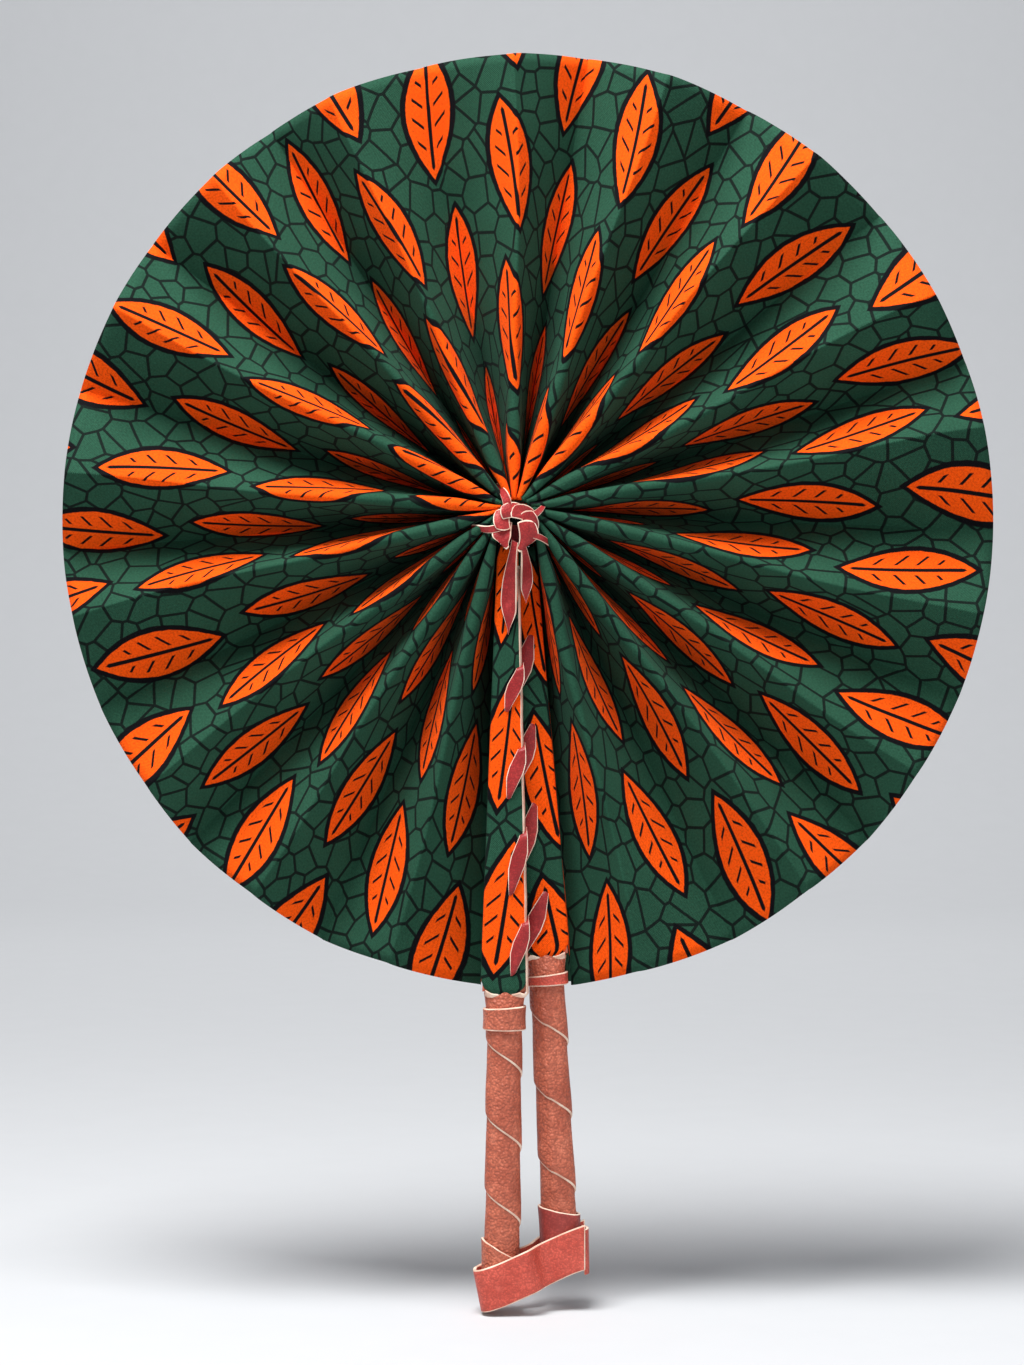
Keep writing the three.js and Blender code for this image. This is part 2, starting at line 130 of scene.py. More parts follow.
def calc(tree, operation, a, b=0.0, c=0.0):
    node = newNode(tree, "Math")
    node.operation = operation
    for socket, value in zip(node.inputs, (a, b, c)):
        feed(socket, value)
    return node.outputs[0]


def band(tree, value, low, high):
    node = newNode(tree, "MapRange")
    node.interpolation_type = "SMOOTHSTEP"
    feedAll(node, {"Value": value, "From Min": low, "From Max": high})
    return node.outputs["Result"]


def blend(tree, factor, a, b, kind="MIX"):
    node = newNode(tree, "Mix")
    node.data_type = "RGBA"
    node.blend_type = kind
    feed(node.inputs[0], factor)
    feed(node.inputs[6], a)
    feed(node.inputs[7], b)
    return node.outputs[2]


def addNoise(tree, place, scale, detail=2.0):
    node = newNode(tree, "TexNoise")
    feedAll(node, {"Vector": place, "Scale": scale, "Detail": detail})
    return node.outputs["Fac"]


def dress(tree, shader, colour, roughness, height, strength, distance):
    bump = newNode(tree, "Bump")
    feedAll(bump, {"Strength": strength, "Distance": distance, "Height": height})
    feedAll(shader, {"Base Color": colour, "Roughness": roughness, "Normal": bump.outputs["Normal"]})


def objectPlace(tree):
    return newNode(tree, "TexCoord").outputs["Object"]


def newMaterial(name):
    material = bpy.data.materials.new(name)
    material.use_nodes = True
    tree = material.node_tree
    return material, tree, tree.nodes["Principled BSDF"]


# Plain weave of the cotton: threads over and under, with uneven yarn
weaving = {"threads": 2200.0, "yarn": 1100.0, "yarnDetail": 3.0}


def makeWeave():
    group, entry, leave = newGroup("plainWeave", [("Cloth", "NodeSocketVector")], ("Height", "Yarn"))
    parts = newNode(group, "SeparateXYZ")
    feed(parts.inputs[0], entry.outputs["Cloth"])
    turn = weaving["threads"] * pi
    warp = calc(group, "SINE", calc(group, "MULTIPLY", parts.outputs[0], turn))
    weft = calc(group, "SINE", calc(group, "MULTIPLY", parts.outputs[1], turn))
    feed(leave.inputs["Height"], calc(group, "MULTIPLY", warp, weft))
    yarn = addNoise(group, entry.outputs["Cloth"], weaving["yarn"], weaving["yarnDetail"])
    feed(leave.inputs["Yarn"], yarn)
    return group


# Pebbled grain of the leather, with cloudy dye and rubbed patches
hide = {"Crease": 420.0, "Cloud": 70.0, "Rub": 160.0, "creaseDetail": 5.0, "patchDetail": 4.0}


def makeGrain():
    inputs = [("Place", "NodeSocketVector"), ("Pebble", "NodeSocketFloat")]
    group, entry, leave = newGroup("hideGrain", inputs, ("Height", "Cloud", "Rub"))
    cells = newNode(group, "TexVoronoi")
    cells.feature = "SMOOTH_F1"
    feedAll(cells, {"Vector": entry.outputs["Place"], "Scale": entry.outputs["Pebble"]})
    creases = addNoise(group, entry.outputs["Place"], hide["Crease"], hide["creaseDetail"])
    feed(leave.inputs["Height"], calc(group, "ADD", cells.outputs["Distance"], creases))
    for label in ("Cloud", "Rub"):
        patches = addNoise(group, entry.outputs["Place"], hide[label], hide["patchDetail"])
        feed(leave.inputs[label], patches)
    return group


weaveGroup = makeWeave()
grainGroup = makeGrain()


# Printed cotton: staggered leaves on a net of cells, laid out on the flat strip
cotton = {
    "ground": (0.024, 0.092, 0.054), "groundDeep": (0.013, 0.056, 0.032),
    "line": (0.0030, 0.0030, 0.0042), "leaf": (0.97, 0.104, 0.003),
    "leafDeep": (0.96, 0.086, 0.002),
    "column": 0.0387,  # spacing of the leaves along the strip
    "row": 0.066,  # and from hub to rim
    "rowStart": 0.012,
    "stagger": 0.382,  # shift from one column to the next, in rows
    "halfLength": 0.0265, "halfWidth": 0.0106, "slant": 0.16, "outline": 0.0026,
    "leafBlur": 0.00022, "outlineBlur": 0.0003,
    "ragged": 0.0009,  # unevenness of a leaf's edge
    "raggedScale": 240.0,
    "veins": (-0.0022, -0.0028),  # edge measures between which the veins fade in
    "midrib": (0.0011, 0.0007), "rib": (0.20, 0.14), "ribStart": (0.0024, 0.0030),
    "ribSweep": -0.9, "ribSpacing": 0.0085,
    "cell": 92.0,  # cells of the net, per metre
    "netLine": (0.075, 0.045), "netStrength": 0.88,
    "tint": 38.0,  # scale of the dye's clouds
    "tintDetail": 4.0,
    "fuzz": (1.5, 0.25),  # shade by the yarn: factor and start
    "fuzzShare": 0.75, "roughness": (0.25, 0.68), "specular": 0.08, "sheen": 0.015,
    "bump": (0.5, 0.00016),
}


def makeCotton():
    material, tree, shader = newMaterial("printedCotton")
    uv = newNode(tree, "UVMap")
    uv.uv_map = "cloth"
    strip = uv.outputs[0]
    do, fade, mix = (partial(helper, tree) for helper in (calc, band, blend))
    parts = newNode(tree, "SeparateXYZ")
    feed(parts.inputs[0], strip)
    along, out = parts.outputs[0], parts.outputs[1]

    # x and y in a leaf's own cell; every second column leans the other way
    column = do("DIVIDE", along, cotton["column"])
    number = do("FLOOR", column)
    row = do("DIVIDE", do("SUBTRACT", out, cotton["rowStart"]), cotton["row"])
    row = do("ADD", row, do("MULTIPLY", number, cotton["stagger"]))
    y = do("MULTIPLY", do("SUBTRACT", do("FRACT", row), 0.5), cotton["row"])
    x = do("MULTIPLY", do("SUBTRACT", do("FRACT", column), 0.5), cotton["column"])
    parity = do("FLOORED_MODULO", number, 2.0)
    lean = do("MULTIPLY_ADD", parity, 2 * cotton["slant"], -cotton["slant"])
    across = do("ABSOLUTE", do("MULTIPLY_ADD", y, lean, x))

    # a pointed oval: negative inside
    taper = do("POWER", do("DIVIDE", do("ABSOLUTE", y), cotton["halfLength"]), 2.0)
    edge = do("MULTIPLY_ADD", taper, cotton["halfWidth"], across)
    edge = do("SUBTRACT", edge, cotton["halfWidth"])
    uneven = addNoise(tree, strip, cotton["raggedScale"])
    uneven = do("MULTIPLY_ADD", uneven, cotton["ragged"], -cotton["ragged"] / 2)
    edge = do("ADD", edge, uneven)
    inLeaf = fade(edge, cotton["leafBlur"], -cotton["leafBlur"])
    outline, blur = cotton["outline"], cotton["outlineBlur"]
    inOutline = fade(edge, outline + blur, outline - blur)

    # veins: a midrib that stops short of the tips, and ribs that sweep outwards
    inner = fade(edge, *cotton["veins"])
    midrib = fade(across, *cotton["midrib"])
    ribs = do("MULTIPLY_ADD", across, cotton["ribSweep"], y)
    ribs = do("FRACT", do("DIVIDE", ribs, cotton["ribSpacing"]))
    rib = do("MULTIPLY", fade(ribs, *cotton["rib"]), fade(across, *cotton["ribStart"]))
    vein = do("MULTIPLY", do("MAXIMUM", midrib, rib), inner)

    net = newNode(tree, "TexVoronoi")
    net.voronoi_dimensions = "2D"
    net.feature = "DISTANCE_TO_EDGE"
    feedAll(net, {"Vector": strip, "Scale": cotton["cell"]})
    netLine = do("MULTIPLY", fade(net.outputs["Distance"], *cotton["netLine"]), cotton["netStrength"])
    tint = addNoise(tree, strip, cotton["tint"], cotton["tintDetail"])
    weave = newNode(tree, "Group")
    weave.node_tree = weaveGroup
    feed(weave.inputs["Cloth"], strip)
    yarn = weave.outputs["Yarn"]

    line = cotton["line"]
    ground = mix(tint, cotton["groundDeep"], cotton["ground"])
    colour = mix(inOutline, mix(netLine, ground, line), line)
    dye = mix(tint, cotton["leafDeep"], cotton["leaf"])
    colour = mix(vein, mix(inLeaf, colour, dye), line)
    fuzz = do("MULTIPLY_ADD", yarn, *cotton["fuzz"])
    colour = mix(cotton["fuzzShare"], colour, fuzz, "MULTIPLY")
    roughness = do("MULTIPLY_ADD", yarn, *cotton["roughness"])
    dress(tree, shader, colour, roughness, weave.outputs["Height"], *cotton["bump"])
    feedAll(shader, {"Specular IOR Level": cotton["specular"], "Sheen Weight": cotton["sheen"]})
    return material


# Leathers: base and deep dye, pebbles per metre, roughness and depth of the grain
leathers = {
    "gripLeather": ((0.79, 0.222, 0.128), (0.54, 0.124, 0.069), 1050.0, 0.44, 0.00080),
    "laceLeather": ((0.56, 0.044, 0.042), (0.36, 0.022, 0.024), 1500.0, 0.42, 0.00020),
    "strapLeather": ((0.86, 0.150, 0.102), (0.66, 0.094, 0.062), 1300.0, 0.42, 0.00035),
    "bandLeather": ((0.50, 0.080, 0.062), (0.38, 0.050, 0.040), 1200.0, 0.50, 0.00014),
}
# Rubbed wear of the leathers, and painted shade darkening the pits of the grain
wearAndPaintedShade = {
    "cloud": (0.32, 0.68),
    "paintedShadeInPits": (0.45, 1.1),  # grain heights between which the pits get painted shade
    "paintedShadeShare": 0.65, "paintedShadeTone": 0.55, "rub": (0.56, 0.75), "rubShare": 0.22,
    "rubShade": (1.35, 0.04),  # factor and rise of a rubbed patch's colour
    "rubRoughness": 0.3, "specular": 0.32, "bump": 0.8,
}


def addGrain(tree, pebble):
    grain = newNode(tree, "Group")
    grain.node_tree = grainGroup
    feedAll(grain, {"Place": objectPlace(tree), "Pebble": pebble})
    return grain.outputs["Height"], grain.outputs["Cloud"], grain.outputs["Rub"]


def makeLeather(name):
    base, deep, pebble, roughness, depth = leathers[name]
    material, tree, shader = newMaterial(name)
    height, cloud, rub = addGrain(tree, pebble)
    colour = blend(tree, band(tree, cloud, *wearAndPaintedShade["cloud"]), deep, base)
    # painted shade: the pits of the grain are darkened as if in shadow
    paintedShadeInPits = calc(tree, "MULTIPLY", band(tree, height, *wearAndPaintedShade["paintedShadeInPits"]), wearAndPaintedShade["paintedShadeShare"])
    colour = blend(tree, paintedShadeInPits, colour, [wearAndPaintedShade["paintedShadeTone"] * c for c in deep])
    rubbed = calc(tree, "MULTIPLY", band(tree, rub, *wearAndPaintedShade["rub"]), wearAndPaintedShade["rubShare"])
    factor, rise = wearAndPaintedShade["rubShade"]
    colour = blend(tree, rubbed, colour, [min(1.0, factor * c + rise) for c in base])
    dull = calc(tree, "MULTIPLY_ADD", rub, wearAndPaintedShade["rubRoughness"], roughness - wearAndPaintedShade["rubRoughness"] / 2)
    dress(tree, shader, colour, dull, height, wearAndPaintedShade["bump"], depth)
    feed(shader.inputs["Specular IOR Level"], wearAndPaintedShade["specular"])
    return material


rawEdge = {
    "deep": (0.74, 0.46, 0.34), "pale": (0.95, 0.76, 0.61), "pebble": 2400.0, "fibre": (0.3, 0.7),
    "roughness": 0.9, "bump": (0.5, 0.0002),
}


def makeRawEdge():
    material, tree, shader = newMaterial("rawLeatherEdge")
    height, _, rub = addGrain(tree, rawEdge["pebble"])
    fibre = band(tree, rub, *rawEdge["fibre"])
    colour = blend(tree, fibre, rawEdge["deep"], rawEdge["pale"])
    dress(tree, shader, colour, rawEdge["roughness"], height, *rawEdge["bump"])
    return material


wood = {
    "dark": (0.30, 0.17, 0.08), "light": (0.62, 0.42, 0.22), "stretch": (1.0, 1.0, 0.06), "grain": 600.0,
    "grainDetail": 4.0, "roughness": 0.7, "bump": (0.4, 0.0002),
}


def makeWood():
    material, tree, shader = newMaterial("stickWood")
    stretch = newNode(tree, "Mapping")
    feedAll(stretch, {"Vector": objectPlace(tree), "Scale": wood["stretch"]})
    grain = addNoise(tree, stretch.outputs[0], wood["grain"], wood["grainDetail"])
    colour = blend(tree, grain, wood["dark"], wood["light"])
    dress(tree, shader, colour, wood["roughness"], grain, *wood["bump"])
    return material


cottonLook = makeCotton()
gripLook = makeLeather("gripLeather")
laceLook = makeLeather("laceLeather")
strapLook = makeLeather("strapLeather")
bandLook = makeLeather("bandLeather")
edgeLook = makeRawEdge()
woodLook = makeWood()
print("materials made")


# A piece from a grid: place(a, b) gives a point for a across and b along, both 0 to 1
def gridPiece(name, across, along, place, cloth, materials):
    mesh = bpy.data.meshes.new(name)
    bm = bmesh.new()
    bmesh.ops.create_grid(bm, x_segments=across, y_segments=along, size=1.0)
    layer = bm.loops.layers.uv.new("cloth")
    flat = {vert: ((vert.co.x + 1) / 2, (vert.co.y + 1) / 2) for vert in bm.verts}
    for face in bm.faces:
        face.smooth = True
        for loop in face.loops:
            loop[layer].uv = cloth(*flat[loop.vert])
    for vert in bm.verts:
        vert.co = place(*flat[vert])
    bm.to_mesh(mesh)
    bm.free()
    for material in materials:
        mesh.materials.append(material)
    piece = bpy.data.objects.new(name, mesh)
    bpy.context.scene.collection.objects.link(piece)
    return piece


# The flat layout of a piece that has no print
def plain(a, b):
    return a, b


# Gives the faces of the columns that pass the test the second finish
def paleColumn(piece, test):
    layer = piece.data.uv_layers["cloth"].data
    for face in piece.data.polygons:
        middle = sum(layer[loop].uv.x for loop in face.loop_indices) / face.loop_total
        if test(middle):
            face.material_index = 1


# The test for the two outermost columns
def outermost(columns):
    return lambda a: abs(2 * a - 1) > 1 - 2 / columns


paring = {"segments": 2, "angle": 55.0}


# Cuts a piece to its settings, thickens it and fixes it to its body; pared edges show the raw leather
def cutPiece(name, settings, place, material, body, nodes=(), cloth=plain, pale=None):
    pared = "pare" in settings
    materials = [material, edgeLook] if pared else [material]
    piece = gridPiece(name, *settings["grid"], place, cloth, materials)
    if pale:
        paleColumn(piece, pale)
    solid = piece.modifiers.new("thickness", "SOLIDIFY")
    solid.thickness = settings["thickness"]
    solid.offset = settings.get("offset", 0.0)
    if pared:
        solid.material_offset_rim = 1
        cut = piece.modifiers.new("paredEdge", "BEVEL")
        cut.width = settings["pare"]
        cut.segments = paring["segments"]
        cut.limit_method = "ANGLE"
        cut.angle_limit = radians(paring["angle"])
        cut.material = 1
    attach(piece, body)
    if nodes:
        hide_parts(*nodes)
    return piece


# Guards: where the two sticks run, with the sizes of the frame
guards = {
    "left": {
        "body": "left_guard", "side": 1, "shift": -2.7 * mm, "lean": -0.5, "middle": -6.5 * mm,
        "end": 190 * mm,
    },
    "right": {
        "body": "right_guard", "side": -1, "shift": 3 * mm, "lean": 3.0, "middle": 3.5 * mm,
        "end": 176 * mm,
    },
    "top": 11 * mm, "topWidth": 7.5 * mm, "endWidth": 18 * mm, "sheathFront": -3.6 * mm,
    "facingFront": -4.5 * mm, "leafGap": 0.8 * mm, "handle": 122 * mm,
    "stick": (11.2 * mm, 8.6 * mm),
}
sides = ("left", "right")


def guardHalf(guard, down):
    share = min(max((down - guards["top"]) / (guard["end"] - guards["top"]), 0), 1)
    return mixed(guards["topWidth"], guards["endWidth"], share) / 2


def guardAt(side):
    guard = guards[side]
    place = Matrix.Translation((guard["shift"], guard["middle"], hub.z))
    return guard, place @ Matrix.Rotation(radians(-guard["lean"]), 4, "Y")


# Leaf: pleats of doubled cotton between the two guards
pleats = 17
leaf = {
    "radius": 188.5 * mm, "shift": 5 * mm, "inner": 7.4 * mm, "hubDepth": 34 * mm,
    "rimDepth": 21 * mm, "depthPower": 1.5,
    "ridge": 2.6 * mm,  # rounding of the front folds near the hub
    "ridgeRim": 0.35 * mm,  # and at the rim
    "sharpen": 1.35,  # how early on the way out the front folds are sharp
    "fill": 0.62,  # share of the room a front fold takes up near the hub
    "valley": 0.4 * mm,  # rounding of the back folds
    "valleyLeast": (0.55 * mm, 0.45),  # the least of it, at most this share of the room
    "frontColumns": (0.3, 0.12),  # share of the columns at a front fold, and of the flank
    "backColumns": (0.2, 0.06),  # the same at a back fold
    "crowd": 1.8,  # how closely the columns stand at the folds
    "rows": 1.25,  # how closely the rows stand at the hub
    "sway": (0.15, 2.4, 0.7),  # sideways lean of the front folds: size, change by pleat, start
    "waver": (0.05, 5.1, 7.0),  # and its change on the way out: size, change by pleat, turns
    "swayFrom": 4.0, "wrinkle": 0.8 * mm, "wrinkleFrom": 2.2, "wrinkleScale": 26.0,
    "fineWrinkle": 0.45, "fineScale": 70.0, "largestLean": 0.93, "thickness": 0.7 * mm,
    "flank": 40 * mm,  # width of one panel of the strip
    "grid": (34, 56),
    "closed": (2.4, 1.3, 0.8, 0.527),  # degrees a pleat takes up in the closed fan, from the guards inwards
}


def leafEdge(guard, radius):
    lean = radius * tan(radians(abs(guard["lean"])))
    offset = abs(guard["shift"]) + lean + guardHalf(guard, radius) + guards["leafGap"]
    return asin(min(leaf["largestLean"], offset / radius))


def leafAngle(share, radius):
    return mixed(leafEdge(guards["left"], radius), tau - leafEdge(guards["right"], radius), share)


def rimRadius(share):
    return leaf["radius"] - leaf["shift"] * sin(leafAngle(share, leaf["radius"]))


# Half a pleat's section: round front fold, straight flank, pinched back fold
def pleatProfile(t, half, depth, ridge, valley):
    both = ridge + valley
    apart = hypot(half, depth - both)
    slope = atan2(depth - both, half) + asin(min(1.0, both / apart))
    run = sqrt(max(apart * apart - both * both, 0))
    at = t * (ridge * slope + run + valley * slope)
    if at < ridge * slope:
        turn = at / ridge
        return ridge * sin(turn), -depth / 2 + ridge * (1 - cos(turn))
    at -= ridge * slope
    startX, startY = ridge * sin(slope), -depth / 2 + ridge * (1 - cos(slope))
    if at < run:
        return startX + at * cos(slope), startY + at * sin(slope)
    turn = slope - (at - run) / valley
    return half - valley * sin(turn), depth / 2 - valley * (1 - cos(turn))


# Where a column lies on its flank: 0 on the front fold, 1 on the back fold
def columnShare(c):
    c = abs(c)
    front, frontShare = leaf["frontColumns"]
    back, backShare = leaf["backColumns"]
    if c < front:
        return frontShare * (c / front) ** leaf["crowd"]
    if c < 1 - back:
        return mixed(frontShare, 1 - backShare, (c - front) / (1 - back - front))
    return 1 - backShare * ((1 - c) / back) ** leaf["crowd"]


def foldSway(index, outward):
    size, change, start = leaf["sway"]
    fine, fineChange, turns = leaf["waver"]
    return size * sin(change * index + start) + fine * sin(fineChange * index + turns * outward)


def leafPoint(index, c, outward):
    middle = (index + 0.5) / pleats
    base = mixed(leaf["inner"], leaf["radius"], outward)
    span = leafAngle(1, base) - leafAngle(0, base)
    half = base * span / (2 * pleats)
    depth = mixed(leaf["hubDepth"], leaf["rimDepth"], outward ** leaf["depthPower"])
    ridge = mixed(leaf["ridge"], leaf["ridgeRim"], smooth(outward * leaf["sharpen"]))
    ridge = min(ridge, leaf["fill"] * half)
    least, leastShare = leaf["valleyLeast"]
    valley = max(min(least, leastShare * half), min(leaf["valley"], half - ridge))
    x, y = pleatProfile(columnShare(c), half, depth, ridge, valley)
    x = copysign(x, c)
    front = 0.5 - y / depth  # 1 on the front fold, 0 on the back fold
    x += foldSway(index, outward) * half * max(front, 0) * smooth(leaf["swayFrom"] * outward)
    share = middle + x / half / (2 * pleats)
    rim = rimRadius(middle + c / (2 * pleats))
    rim *= 1 + y / view["distance"]  # keeps the rim an even round from the front
    radius = mixed(leaf["inner"], rim, outward)
    angle = leafAngle(share, radius)
    point = Vector((-radius * sin(angle), y, hub.z - radius * cos(angle)))
    loose = leaf["wrinkle"] * smooth(leaf["wrinkleFrom"] * outward)
    fine = leaf["fineWrinkle"] * loose * noise(point * leaf["fineScale"])
    point.y += loose * noise(point * leaf["wrinkleScale"]) + fine
    return point


def makePleat(index):
    name = f"pleat_{index + 1:02d}"

    def place(a, b):
        return leafPoint(index, 2 * a - 1, b ** leaf["rows"])

    def cloth(a, b):
        c = 2 * a - 1
        strip = index + 0.5 + copysign(columnShare(c), c) / 2
        return strip * 2 * leaf["flank"], mixed(leaf["inner"], leaf["radius"], b ** leaf["rows"])

    piece = cutPiece(f"cotton_{name}", leaf, place, cottonLook, name, [name], cloth)
    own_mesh(piece)


for index in range(pleats):
    makePleat(index)
print("leaf pleated")


# End panels: the leaf's last half pleats, turned up to the backs of the guards
panel = {
    "start": 8.5 * mm,
    "behind": 0.7 * mm,  # gap behind the sheath's front
    "inward": 2.4 * mm,
    "width": {"left": 16.5 * mm, "right": 10 * mm},
    "thickness": 0.7 * mm, "grid": (10, 40),
}


def makeEndPanel(side):
    guard = guards[side]
    share = sides.index(side)
    start = panel["start"]
    reach = rimRadius(share)
    back = guard["middle"] - guards["sheathFront"] + panel["behind"]

    def place(a, b):
        radius = mixed(start, reach, b ** leaf["rows"])
        angle = leafAngle(share, radius)
        depth = mixed(leaf["hubDepth"], leaf["rimDepth"], (radius - leaf["inner"]) / leaf["radius"]) / 2
        x = guard["side"] * panel["inward"] * smooth(a) - radius * sin(angle)
        return Vector((x, mixed(depth, back, a), hub.z - radius * cos(angle)))

    def cloth(a, b):
        strip = -a if side == "left" else 2 * pleats + a
        return strip * leaf["flank"], mixed(start, reach, b ** leaf["rows"])

    name = f"{side}_end_panel"
    piece = cutPiece(f"cotton_{name}", panel, place, cottonLook, guard["body"], [name], cloth)


for side in sides:
    makeEndPanel(side)
print("end panels sewn on")


# Core: the inner ends of the pleats, drawn together behind the knot
core = {
    "radius": (0.02 * mm, 11.5 * mm), "depth": (-7 * mm, 6 * mm), "dish": 0.8,
    "ripple": 0.8 * mm,
    "print": 4 * mm,  # piece of the print that shows on it
    "thickness": 0.5 * mm, "flat": (36 * mm, 36 * mm), "area": 0.00066, "grid": (8, 136),
}


def makeCore():
    def place(a, b):
        angle = b * tau
        radius = mixed(*core["radius"], a)
        y = mixed(*core["depth"], a ** core["dish"]) + core["ripple"] * a * cos(pleats * angle)
        return Vector((radius * cos(angle), y, hub.z + radius * sin(angle)))

    def cloth(a, b):
        return core["print"] * b, core["print"] * a

    piece = cutPiece("cotton_core", core, place, cottonLook, "left_guard", cloth=cloth)


makeCore()


# Facings: printed cotton over the front and the outer side of the sheaths, round at the lower end
facing = {
    "corner": 7.5 * mm, "cornerDown": 1.6 * mm,
    "past": 1.0 * mm,  # how far it reaches past the guard's end
    "crown": 0.45 * mm, "sunk": 0.3 * mm, "thickness": 0.6 * mm,
    "side": 0.28,  # share of the width that lies on the outer side
    "sideDepth": 7.2 * mm, "sideOut": 0.5 * mm,
    "roll": 0.4 * mm,  # rounding over the front's outer corner
    "rollShare": 0.16, "uneven": 0.16 * mm, "unevenScale": 60, "printWidth": 25 * mm,
    "printStart": {"left": 0.1320, "right": 0.2141},
    "printDown": 0.012, "grid": (32, 70),
}


def makeFacing(side):
    guard, matrix = guardAt(side)
    front = guards["facingFront"] + facing["sunk"]
    corner, aside = facing["corner"], facing["side"]

    def place(a, b):
        down = mixed(guards["top"], guard["end"] + facing["past"], b)
        half = guardHalf(guard, down)
        below = max(down - (guard["end"] + facing["cornerDown"] - corner), 0)
        inset = corner - sqrt(max(corner ** 2 - below ** 2, 0))
        around = max((aside - a) / aside, 0)
        c = 2 * (a - aside) / (1 - aside) - 1
        if around:
            x = -half - facing["sideOut"]
            y = front + facing["roll"] + around * facing["sideDepth"]
        else:
            rolled = max(-c - 1 + facing["rollShare"], 0) / facing["rollShare"]
            x = c * half - facing["sideOut"] * max(-c, 0)
            y = front - facing["crown"] * (1 - c * c) + facing["roll"] * rolled ** 2
        x *= (half - inset) / half
        scale = facing["unevenScale"]
        y += facing["uneven"] * noise(Vector((x * scale, down * scale, guard["side"])))
        return matrix @ Vector((guard["side"] * x, y, -down))

    def cloth(a, b):
        across = (a - 0.5) * facing["printWidth"] + facing["printStart"][side]
        return across, mixed(guards["top"], guard["end"], b) + facing["printDown"]

    name = f"{side}_facing"
    piece = cutPiece(f"cotton_{name}", facing, place, cottonLook, guard["body"], [name], cloth)


for side in sides:
    makeFacing(side)
print("facings laid on")


# Raw leather edge of the sheath, a pale line beside the lacing and round the lower end
trim = {
    "bend": 0.9,  # down the open edge for this share, then across below the cloth
    "start": 8 * mm, "end": 0.6 * mm, "width": (-0.35 * mm, 0.45 * mm), "wander": 0.25 * mm,
    "wanderScale": 90,
    "stop": 1.2 * mm,  # from the far edge
    "ragged": 0.7 * mm, "raggedScale": 300,
    "corner": 5.5 * mm,  # rounding of the lower corners
    "cornerFrom": 0.35,
    "firstShare": 0.1,  # of the way across, without that rounding
    "lower": (0.2 * mm, 2.6 * mm), "lowerFrom": 8, "front": 0.1 * mm, "curl": 2.0 * mm,
    "thickness": 0.5 * mm, "grid": (5, 130),
}


def makeSheathEdge(side):
    guard, matrix = guardAt(side)
    bend = trim["bend"]
    half = guards["endWidth"] / 2
    top, end = guards["top"] + trim["start"], guard["end"] + trim["end"]

    def place(a, b):
        out = mixed(*trim["width"], a)
        if b < bend:
            down = mixed(top, end, b / bend)
            wander = noise(Vector((0, down * trim["wanderScale"], guard["side"])))
            x = guardHalf(guard, down) + trim["wander"] * wander + out
        else:
            across = (b - bend) / (1 - bend)
            x = mixed(half + out, -half + trim["stop"], across)
            ragged = noise(Vector((x * trim["raggedScale"], 0, guard["side"])))
            down = end + mixed(*trim["lower"], a) * smooth(across * trim["lowerFrom"])
            down += trim["ragged"] * ragged
            if across > trim["firstShare"]:
                down -= trim["corner"] * max(abs(x) / half - trim["cornerFrom"], 0) ** 2
        y = guards["facingFront"] - trim["front"] + trim["curl"] * a * a
        return matrix @ Vector((guard["side"] * x, y, -down))

    cutPiece(f"{side}_sheath_edge", trim, place, edgeLook, guard["body"])


for side in sides:
    makeSheathEdge(side)
print("sheath edges trimmed")


# Lacing: a thong whipped over the sheath's open edge, one slanting stitch after another
lacing = {
    # each stitch's ends, down from the hub, and how far in from the open edge its hole is
    "left": [(58, 78, 6), (90, 113, 6), (124, 152, 6), (160, 184, 6)],
    "right": [(46, 71, 6), (82, 106, 6), (114, 142, 6), (150, 177, 10)],
    "width": 7.0 * mm,
    "upperEnd": (0.08, 0.42, 0.8),  # a stitch's ends narrow: least share, length, roundness
    "lowerEnd": (0.02, 0.45, 0.85), "thickness": 0.9 * mm, "pare": 0.40 * mm,
    "over": 0.7 * mm,  # how far a stitch stands out past the edge
    "front": 0.75 * mm, "back": 3.0 * mm,
    "roll": 0.14,  # share that rolls over the edge
    "sink": 0.1,  # share that dives into the hole
    "sinkDepth": 1.4 * mm, "bow": 0.35 * mm, "twist": (0.25 * mm, 2.5), "crown": 0.3 * mm,
    "lean": 0.28, "grid": (18, 36),
}


def makeStitch(side, number, top, bottom, inward):
    guard, matrix = guardAt(side)
    front = guards["facingFront"] - lacing["front"]
    back = guards["sheathFront"] + lacing["back"]
    edgeFirst = side == "left"

    def stitchWidth(b):
        least, length, power = lacing["upperEnd"]
        upper = min(1.0, least + b / length) ** power
        least, length, power = lacing["lowerEnd"]
        return lacing["width"] * upper * min(1.0, (1 + least - b) / length) ** power

    def place(a, b):
        c = 2 * a - 1
        t = b if edgeFirst else 1 - b  # 0 at the edge, 1 at the hole
        down = mixed(top, bottom, b) * mm
        half = guardHalf(guard, down)
        x = mixed(half + lacing["over"], half - inward * mm, t)
        turned = smooth((lacing["roll"] - t) / lacing["roll"])
        sunk = smooth((t - 1 + lacing["sink"]) / lacing["sink"])
        y = mixed(mixed(front, back, turned), front + lacing["sinkDepth"], sunk)
        size, turns = lacing["twist"]
        y += size * c * cos(turns * b + number)
        y -= lacing["bow"] * sin(pi * t) + lacing["crown"] * (1 - c * c)
        aside = c * stitchWidth(b) / 2
        x += aside * cos(lacing["lean"])
        down -= aside * sin(lacing["lean"])
        return matrix @ Vector((guard["side"] * x, y, -down))

    nodes = [f"{side}_lacing"] if number == 1 else ()
    cutPiece(f"{side}_stitch_{number}", lacing, place, laceLook, guard["body"], nodes,
             pale=outermost(lacing["grid"][0]))


for side in sides:
    for number, stitch in enumerate(lacing[side], 1):
        makeStitch(side, number, *stitch)
print("lacing whipped")


